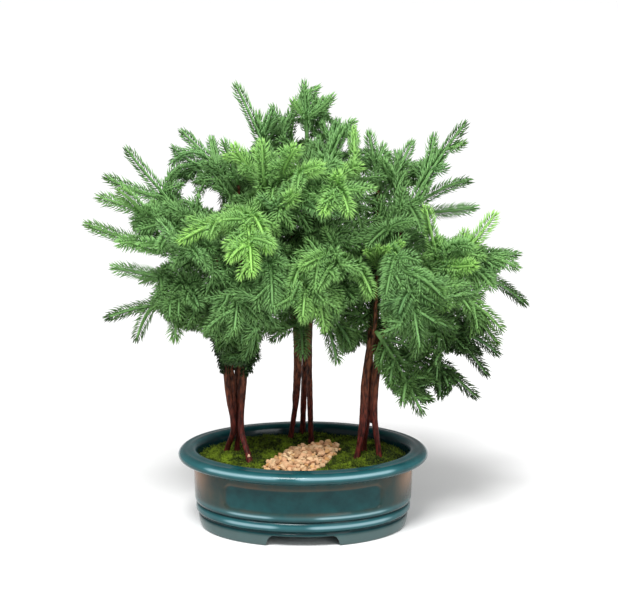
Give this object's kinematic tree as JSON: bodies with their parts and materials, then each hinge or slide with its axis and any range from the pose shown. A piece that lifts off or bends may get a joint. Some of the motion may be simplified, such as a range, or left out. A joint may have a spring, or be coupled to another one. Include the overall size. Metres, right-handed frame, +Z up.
{
  "type": "norfolk island pine bonsai forest",
  "caption": "Young Norfolk Island pines in clumps, planted as a bonsai forest with moss and gravel in an oval glazed ceramic pot.",
  "frame": {"origin": "bottom centre of the whole object's box, on the surface that the pot stands on", "axes": "+X to the right along the pot's length, +Y to the back, +Z up; the side seen in the picture faces -Y"},
  "size_m": [0.4488, 0.2658, 0.4525],
  "materials": {
    "glaze": "gloss",
    "screen": "matte",
    "soil": "matte",
    "moss": "matte",
    "gravel": "matte",
    "bark": "satin",
    "needles": "satin"
  },
  "bodies": {
    "root": {"pot": "glaze", "drain_screen_left": "screen", "drain_screen_right": "screen", "soil": "soil", "moss": "moss", "gravel": "gravel", "stem_left_1": "bark", "stem_left_2": "bark", "stem_left_3": "bark", "stem_middle_1": "bark", "stem_middle_2": "bark", "stem_middle_3": "bark", "stem_right_1": "bark", "stem_right_2": "bark", "stem_right_3": "bark", "spray_left_01": "needles", "spray_left_02": "needles", "spray_left_03": "needles", "spray_left_04": "needles", "spray_left_05": "needles", "spray_left_06": "needles", "spray_left_07": "needles", "spray_left_08": "needles", "spray_left_09": "needles", "spray_left_10": "needles", "spray_left_11": "needles", "spray_left_12": "needles", "spray_left_13": "needles", "spray_left_14": "needles", "spray_left_15": "needles", "spray_left_16": "needles", "spray_middle_17": "needles", "spray_middle_18": "needles", "spray_middle_19": "needles", "spray_middle_20": "needles", "spray_middle_21": "needles", "spray_middle_22": "needles", "spray_middle_23": "needles", "spray_middle_24": "needles", "spray_middle_25": "needles", "spray_middle_26": "needles", "spray_middle_27": "needles", "spray_middle_28": "needles", "spray_right_29": "needles", "spray_right_30": "needles", "spray_right_31": "needles", "spray_right_32": "needles", "spray_right_33": "needles", "spray_right_34": "needles", "spray_right_35": "needles", "spray_right_36": "needles", "spray_right_37": "needles", "spray_right_38": "needles", "spray_right_39": "needles", "spray_right_40": "needles", "spray_right_41": "needles", "spray_right_42": "needles", "inner_foliage_left": "needles", "inner_foliage_middle": "needles", "inner_foliage_right": "needles"}
  },
  "joints": []
}
